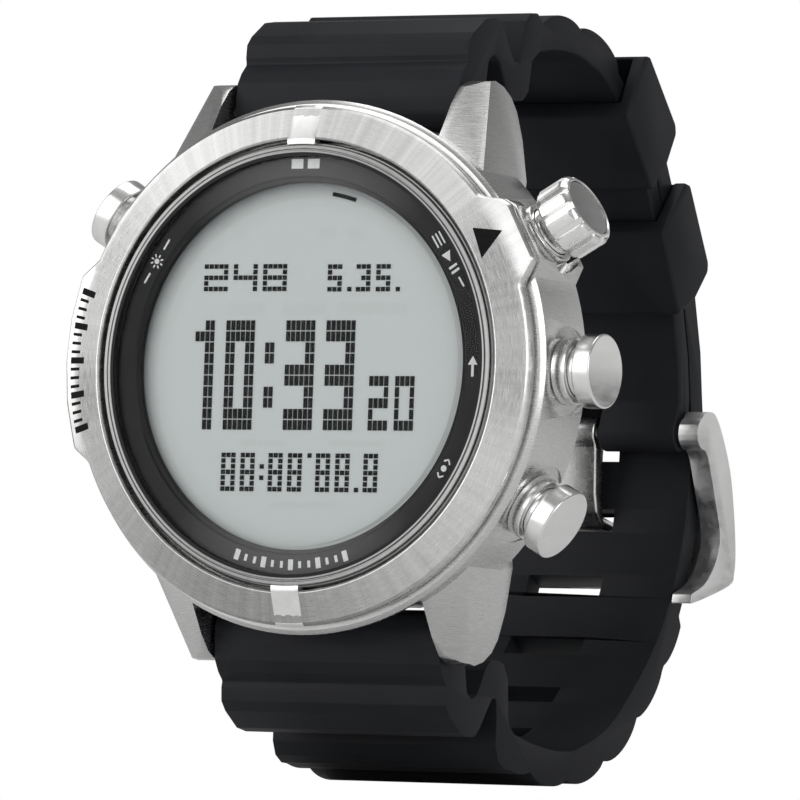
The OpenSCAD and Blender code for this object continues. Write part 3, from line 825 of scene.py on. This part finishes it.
def collars():
    """The four steel tubes that stand out of the case, each wider beyond the seat."""
    bm = bmesh.new()
    for clock in CLOCK.values():
        outline = fillet([(2.46, 21.3), (2.9, 21.3), (2.9, SEAT_X), (3.1, SEAT_X), (3.1, COLLAR_X),
                          (2.46, COLLAR_X)], 0.12, 3)
        lathe(bm, outline, on_button(clock), 128)
        inner = [(1.06, 18.2), (2.9, 18.2), (2.9, 21.2), (1.06, 21.2)]
        lathe(bm, inner, on_button(clock), 64)
    finish_piece("button_collars", bm, MAT["pusher"], "case", hides=["button_tubes"],
                 sharp=30)


collars()


def crown():
    """The ribbed button: raised pads round a smooth rim, with a recessed disc in its end."""
    ribs = 12
    core = 3.12
    full = 3.62

    def ribbed(r, a, z):
        if r < core - 0.01:
            return r
        phase = (a * ribs / (2 * math.pi)) % 1.0
        pad = min(1.0, max(0.0, (0.5 - abs(phase - 0.5) - 0.17) / 0.05))
        return core + (r - core) * pad
    bm = bmesh.new()
    start = CAP_X + 0.02
    outline = [(1.56, start), (core - 0.4, start), (core - 0.1, start + 0.08), (full - 0.12, start + 0.2),
               (full, start + 0.4)]
    outline += [(full, start + 0.4 + (CROWN_END - 1.35 - start) * k / 5) for k in range(1, 6)]
    outline += [(full, CROWN_END - 0.8), (full - 0.05, CROWN_END - 0.55), (full - 0.2, CROWN_END - 0.28),
                (core - 0.02, CROWN_END - 0.04), (2.95, CROWN_END), (2.83, CROWN_END - 0.08),
                (2.8, CROWN_END - 0.85), (1.56, CROWN_END - 0.85)]
    lathe(bm, outline, on_button(CLOCK["crown"]), 384, wave=ribbed)
    finish_piece("crown_knob", bm, MAT["pusher"], "crown_cap", hides=["crown_cap"],
                 sharp=30)
    bm = bmesh.new()
    inlay = fillet([(0, CROWN_END - 0.5), (2.78, CROWN_END - 0.5), (2.78, CROWN_END - 0.12),
                    (0, CROWN_END - 0.12)], 0.08, 3, closed=False)
    lathe(bm, inlay, on_button(CLOCK["crown"]), 128, closed=False)
    finish_piece("crown_disc", bm, MAT["disc"], "crown_cap", hides=["crown_inlay"], sharp=30)


crown()


def spring_squash(obj):
    """Gives a spring its own copy of its mesh."""
    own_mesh(obj)


def half_spring(node, joint, side):
    """One half of a spring bar's spring, from the middle to one tip."""
    source = frame["nodes"][node]
    bm = bmesh.new()
    bm.from_mesh(source.data)
    bm.transform(source.matrix_world)
    edge = bmesh.ops.bisect_plane(bm, geom=bm.verts[:] + bm.edges[:] + bm.faces[:], plane_co=(0, 0, 0),
                                  plane_no=(-side, 0, 0), clear_outer=True)["geom_cut"]
    bmesh.ops.holes_fill(bm, edges=[e for e in edge if isinstance(e, bmesh.types.BMEdge)])
    obj = finish_piece(joint + "_spring", bm, MAT["bronze"], "case", hides=[node], sharp=32)
    spring_squash(obj)


for button_name, button_joint in (("button_3", "press_3"), ("button_4", "press_4"), ("button_10", "press_10"),
                                  ("crown", "press_2")):
    spring_squash(frame["nodes"][button_name + "_spring"])
for side, hand in ((1, "right"), (-1, "left")):
    half_spring("bar_spring_12", "tip_12_" + hand + "_slide", side)
    half_spring("bar_spring_6", "tip_6_" + hand + "_slide", side)


# ---------------------------------------------------------------- strap
def catmull(a, b, c, d, t):
    return 0.5 * (2 * b + (c - a) * t + (2 * a - 5 * b + 4 * c - d) * t * t
                  + (3 * b - a - 3 * c + d) * t ** 3)


def spline(points, n):
    """A smooth curve through (Y, Z) points, with n steps between each pair."""
    p = [Vector(q) for q in points]
    last = len(p) - 1
    out = []
    for i in range(last):
        for k in range(n):
            out.append(catmull(p[max(i - 1, 0)], p[i], p[i + 1], p[min(i + 2, last)], k / n))
    return out + [p[last]]


def left_of(p, i):
    d = p[min(i + 1, len(p) - 1)] - p[max(i - 1, 0)]
    return Vector((-d.y, d.x)).normalized()


def shifted(p, t):
    return [q + left_of(p, i) * t[i] for i, q in enumerate(p)]


def lengths(p):
    out = [0.0]
    for a, b in zip(p, p[1:]):
        out.append(out[-1] + (b - a).length)
    return out


def swell(phase):
    """Height of the strap's rounded ridges."""
    return 0.95 * math.sqrt(abs(math.sin(math.pi * phase)))


def short_thickness(y):
    if y >= 23.5:
        return 2.2
    return 2.4 + swell((y - 9.5) / 7) + 0.5 * max(0, 10 - y)


def arc(centre, r, a0, a1, steps=14):
    """Points on a circle in Y and Z, from one angle to another in degrees."""
    return [Vector((centre[0] + r * math.cos(math.radians(a0 + (a1 - a0) * k / steps)),
                    centre[1] + r * math.sin(math.radians(a0 + (a1 - a0) * k / steps))))
            for k in range(steps + 1)]


# the folded end's outline, outside then inside, from the spring bar to the flex line
FOLD_OUT = [(-7.2, 25.6), (-7.0, 27.2), (-6.3, 28.3), (-5.45, 29.1), (-5.6, 29.7), (-5.5, 31), (-4.7, 31.9),
            (-2.4, 33.4), (-0.6, 33.7), (0.4, 33.6), (1.4, 32.7), (2.6, 31.1), (3.6, 29.9), (4.4, 29.9),
            (5.2, 32.2), (5.6, 34.0), (6.5, 34.9)]
FOLD_IN = [(7.1, 30.3), (6.6, 27.4), (5.6, 26.5), (4.2, 26.3), (3, 26.4), (2.0, 27.3), (1.3, 28.5),
           (0.5, 29.7), (-0.5, 30.2), (-1.5, 29.6), (-1.9, 27.6), (-2.8, 24.8)]
SHORT_TOP = spline([(8.6, 31.4), (12.5, 32), (16.5, 31.9), (19.5, 31.2), (22.3, 30.2), (24.7, 28.6)], 10)
SHORT_BACK = [Vector(q) for q in ((31.7, 20.8), (32.8, 18.9), (38.5, 8.7), (39.7, 4.5), (40.3, 0.6))]
SHORT = SHORT_TOP + SHORT_BACK
SHORT_OUT = shifted(SHORT, [short_thickness(q.x) for q in SHORT])


def cylinder_x(centre, r, half, steps=48):
    bm = bmesh.new()
    prism(bm, arc(centre, r, 0, 360 - 360 / steps, steps - 1), half)
    return loose("cutter", bm)


def block(centre, size, turn=0.0):
    """A box cutter centred in Y and Z, turned about X."""
    bm = bmesh.new()
    bmesh.ops.create_cube(bm, size=1)
    bmesh.ops.scale(bm, vec=Vector(size) * MM, verts=bm.verts)
    bmesh.ops.rotate(bm, cent=(0, 0, 0), matrix=Matrix.Rotation(turn, 3, "X"), verts=bm.verts)
    bmesh.ops.translate(bm, vec=Vector((0, centre[0], centre[1])) * MM, verts=bm.verts)
    return loose("cutter", bm)


def strap_piece(name, outline, cutters, hides, body=None):
    """A moulded rubber strap piece: an extruded outline with rounded edges and cut slots."""
    bm = bmesh.new()
    prism(bm, outline, STRAP_HALF)
    bmesh.ops.recalc_face_normals(bm, faces=bm.faces)
    mesh = bpy.data.meshes.new(name)
    bm.to_mesh(mesh)
    bm.free()
    obj = bpy.data.objects.new(name, mesh)
    bpy.context.scene.collection.objects.link(obj)
    cut(obj, cutters)
    mod = obj.modifiers.new("edges", "BEVEL")
    mod.width = 0.3 * MM
    mod.segments = 3
    mod.limit_method = "ANGLE"
    mod.angle_limit = math.radians(50)
    mod.use_clamp_overlap = True
    apply_modifiers(obj)
    obj.data.materials.clear()
    obj.data.materials.append(MAT["rubber"])
    shade(obj, 40)
    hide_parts(*hides)
    if body:
        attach(obj, body)
    return obj


def short_strap():
    """The half at 12 o'clock: its folded end, ridged top and the loop round the buckle's pin."""
    front = [Vector(q) for q in FOLD_OUT]
    pin_arc = arc(PIN, 1.8, 40, -190, 20)
    inner = [Vector(q) for q in FOLD_IN]
    around = arc(BAR, 2.3, 180, 295, 12)
    outline = around[::-1] + front + SHORT_OUT + pin_arc + SHORT[::-1] + inner
    outline = fillet(outline, 0.32, 3)
    gap = block((PIN[0], PIN[1] - 1.3), (7.2, 10, 7.4))
    bore = cylinder_x(BAR, 0.95, 30)
    pin_hole = cylinder_x(PIN, 0.8, 30)
    obj = strap_piece("strap_short_rubber", outline, [gap, bore, pin_hole],
                      ["strap_short", "strap_short_end"])
    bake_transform(obj)
    return obj


short_strap()

LONG_LOOP = spline([(8.2, -33.1), (11, -33.7), (14.5, -34.2), (18, -34.4), (21.5, -34), (27.6, -31.7),
                    (32.6, -27.8), (36.7, -23.6), (39.5, -19.3), (41.9, -13.2), (43, -7), (43.2, -2.5)], 10)
TAIL = shifted(SHORT_TOP[-1:] + SHORT_BACK, [2.35] * 6)[::-1]
LONG = LONG_LOOP + TAIL[:5] + [TAIL[4] + (TAIL[5] - TAIL[4]) * 0.62]
LONG_RUN = lengths(LONG)
RIDGES_END = lengths(LONG)[80]
LONG_OUT = shifted(LONG, [-2.5 - (swell((s + 3) / 7) if s < RIDGES_END else 0) for s in LONG_RUN])
LONG_FOLD_OUT = [(y, -z) for y, z in FOLD_OUT[:14]] + [(4.6, -32), (4.6, -34.4), (5.2, -35.7), (6.4, -36.4)]
LONG_FOLD_IN = [(7, -32.2), (6.6, -28), (5.6, -26.6), (4.2, -26.3)] + [(y, -z) for y, z in FOLD_IN[4:]]


def place_on(p, s, want):
    """Point and heading at a distance along a curve."""
    for i in range(len(p) - 1):
        if s[i + 1] >= want:
            t = (want - s[i]) / (s[i + 1] - s[i])
            d = p[i + 1] - p[i]
            return p[i] + d * t, math.atan2(d.y, d.x)
    return p[-1], 0.0


def long_strap():
    """The half at 6 o'clock: its folded end, ridged loop, and the slotted tail over the short half."""
    slots = []
    for i in range(11):
        point, heading = place_on(LONG, LONG_RUN, 11.1 + 7 * i)
        slots.append(block(point, (8.2, 2.3, 9), heading))
    around = arc((BAR[0], -BAR[1]), 2.3, 65, 180, 12)
    outline = around + [Vector(q) for q in LONG_FOLD_OUT] + LONG_OUT + LONG[::-1]
    outline += [Vector(q) for q in LONG_FOLD_IN]
    outline = fillet(outline, 0.32, 3)
    bore = cylinder_x((BAR[0], -BAR[1]), 0.95, 30)
    obj = strap_piece("strap_long_rubber", outline, [bore] + slots, ["strap_long", "strap_long_end"])
    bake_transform(obj)
    return obj


long_strap()
softened("keeper_upper", MAT["rubber"], 0.45)
softened("keeper_lower", MAT["rubber"], 0.45)

# ---------------------------------------------------------------- buckle
BUCKLE_OUT = [(40.9, -0.6), (42.0, -0.4), (43.3, -0.7), (44.9, -2.5), (46.8, -5.8), (47.9, -9.5),
              (48.6, -13.5),
              (48.5, -15.8), (47.7, -17.0), (43, -18.4), (39.2, -19.3)]
BUCKLE_IN = [(39.4, -18.3), (42, -17.3), (44, -15.5), (45.1, -13.2), (44.9, -11.4), (43.9, -9.1),
             (42.9, -6.9), (42, -5), (41.2, -4.2)]
BUCKLE_EYE = arc(PIN, 1.6, 265, 110, 8)


def buckle():
    """The polished buckle: two curved side plates joined by a bar below the strap."""
    bm = bmesh.new()
    prism(bm, fillet(spline(BUCKLE_OUT, 5) + spline(BUCKLE_IN, 5) + BUCKLE_EYE, 0.3, 2), 14.5)
    obj = loose("buckle_polished", bm)
    wedge = bmesh.new()
    prism(wedge, [(30, 5), (46.05, 5), (46.05, -13), (44, -30), (30, -30)], 12.4)
    window = block((50, -1.2), (17, 20, 20))
    notch = block((50, -4.3), (7, 20, 20))
    hole = cylinder_x(PIN, 0.76, 13.6)
    cut(obj, [loose("cutter", wedge), window, notch, hole])
    mod = obj.modifiers.new("edges", "BEVEL")
    mod.width = 0.55 * MM
    mod.segments = 4
    mod.limit_method = "ANGLE"
    mod.angle_limit = math.radians(40)
    apply_modifiers(obj)
    obj.data.materials.clear()
    obj.data.materials.append(MAT["buckle"])
    shade(obj, 35)
    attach(obj, "buckle")
    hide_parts("buckle_frame")


buckle()
softened("buckle_tongue", MAT["satin"], 0.25)


# ---------------------------------------------------------------- floor, light and camera
def lit_floor():
    """A plain pale floor under the object. Seen from below, as by the low camera, it is clear."""
    bm = bmesh.new()
    bmesh.ops.create_grid(bm, x_segments=2, y_segments=2, size=3.0)
    mesh = bpy.data.meshes.new("floor")
    bm.to_mesh(mesh)
    bm.free()
    obj = bpy.data.objects.new("floor", mesh)
    bpy.context.scene.collection.objects.link(obj)
    obj.location = (0, 0, CAD_BOX[0][2] - 0.0003)
    m = Nodes("floor_white")
    tone = m.noise(m.coord, 2)
    m.wire(Base_Color=m.ramp(tone, [(0.3, (0.86, 0.86, 0.86)), (0.7, (0.88, 0.88, 0.88))]))
    m.set(Roughness=0.9)
    side = m.add("ShaderNodeNewGeometry")
    clear = m.add("ShaderNodeBsdfTransparent")
    mix = m.add("ShaderNodeMixShader")
    m.link(side.outputs["Backfacing"], mix.inputs["Fac"])
    m.link(m.bsdf.outputs["BSDF"], mix.inputs[1])
    m.link(clear.outputs["BSDF"], mix.inputs[2])
    m.link(mix.outputs["Shader"], m.tree.nodes["Material Output"].inputs["Surface"])
    obj.data.materials.append(m.mat)


lit_floor()


def studio_world():
    """White to the camera. Reflections see grey bands, with a dark one at the horizon for the steel."""
    world = bpy.data.worlds.new("studio")
    bpy.context.scene.world = world
    world.use_nodes = True
    tree = world.node_tree
    background = tree.nodes["Background"]
    coord = tree.nodes.new("ShaderNodeTexCoord")
    parts = tree.nodes.new("ShaderNodeSeparateXYZ")
    ramp = tree.nodes.new("ShaderNodeValToRGB")
    shift = tree.nodes.new("ShaderNodeMapRange")
    shift.inputs["From Min"].default_value = -1
    path = tree.nodes.new("ShaderNodeLightPath")
    mix = tree.nodes.new("ShaderNodeMix")
    mix.data_type = "RGBA"
    tree.links.new(coord.outputs["Generated"], parts.inputs["Vector"])
    tree.links.new(parts.outputs["Z"], shift.inputs["Value"])
    tree.links.new(shift.outputs["Result"], ramp.inputs["Fac"])
    stops = [(0.0, 0.04), (0.28, 0.06), (0.40, 0.35), (0.478, 0.75), (0.488, 0.02), (0.518, 0.02),
             (0.53, 0.8), (0.62, 0.45), (0.74, 0.24), (0.86, 0.2), (1.0, 0.45)]
    while len(ramp.color_ramp.elements) < len(stops):
        ramp.color_ramp.elements.new(0.5)
    for element, (at, v) in zip(ramp.color_ramp.elements, stops):
        element.position = at
        element.color = (v, v, v, 1)
    tree.links.new(path.outputs["Is Camera Ray"], mix.inputs["Factor"])
    tree.links.new(ramp.outputs["Color"], mix.inputs[6])
    mix.inputs[7].default_value = (1, 1, 1, 1)
    tree.links.new(mix.outputs[2], background.inputs["Color"])
    background.inputs["Strength"].default_value = 1.0


studio_world()


def area_light(name, spot, aim, size, power, spread=180):
    """A soft rectangular lamp."""
    data = bpy.data.lights.new(name, "AREA")
    data.shape = "RECTANGLE"
    data.size, data.size_y = size
    data.energy = power
    data.spread = math.radians(spread)
    obj = bpy.data.objects.new(name, data)
    bpy.context.scene.collection.objects.link(obj)
    obj.location = spot
    obj.rotation_euler = (Vector(aim) - Vector(spot)).to_track_quat("-Z", "Y").to_euler()


area_light("key", (-0.30, -0.50, 0.22), (0, 0, 0), (0.75, 0.75), 2.5)
area_light("fill", (0.5, -0.25, 0.1), (0, 0, 0), (0.25, 0.5), 1.0)
area_light("top", (0.0, 0.1, 0.5), (0, 0, 0), (0.4, 0.3), 0.7)


def camera():
    """The viewing angle: turned to the object's right and slightly below, with a small roll."""
    yaw, pitch, roll = math.radians(28.73), math.radians(-3.39), math.radians(-2.12)
    distance = 781.0
    per_mm = 10.808
    side = Vector((math.cos(yaw), math.sin(yaw), 0))
    behind = Vector((math.sin(yaw) * math.cos(pitch), -math.cos(yaw) * math.cos(pitch), math.sin(pitch)))
    up = behind.cross(side)
    right = side * math.cos(roll) - up * math.sin(roll)
    above = side * math.sin(roll) + up * math.cos(roll)
    spot = right * 9.92 - above * 3.28 + behind * distance + Vector((0, -CASE_T, 0))
    data = bpy.data.cameras.new("camera")
    obj = bpy.data.objects.new("camera", data)
    bpy.context.scene.collection.objects.link(obj)
    turn = Matrix((right, above, behind)).transposed()
    obj.matrix_world = Matrix.Translation(spot * MM) @ turn.to_4x4()
    data.sensor_width = 36
    data.lens = 36 * per_mm * distance / 800
    data.clip_start = 0.05
    data.clip_end = 20
    bpy.context.scene.camera = obj


camera()
bpy.context.scene.view_settings.view_transform = "Standard"
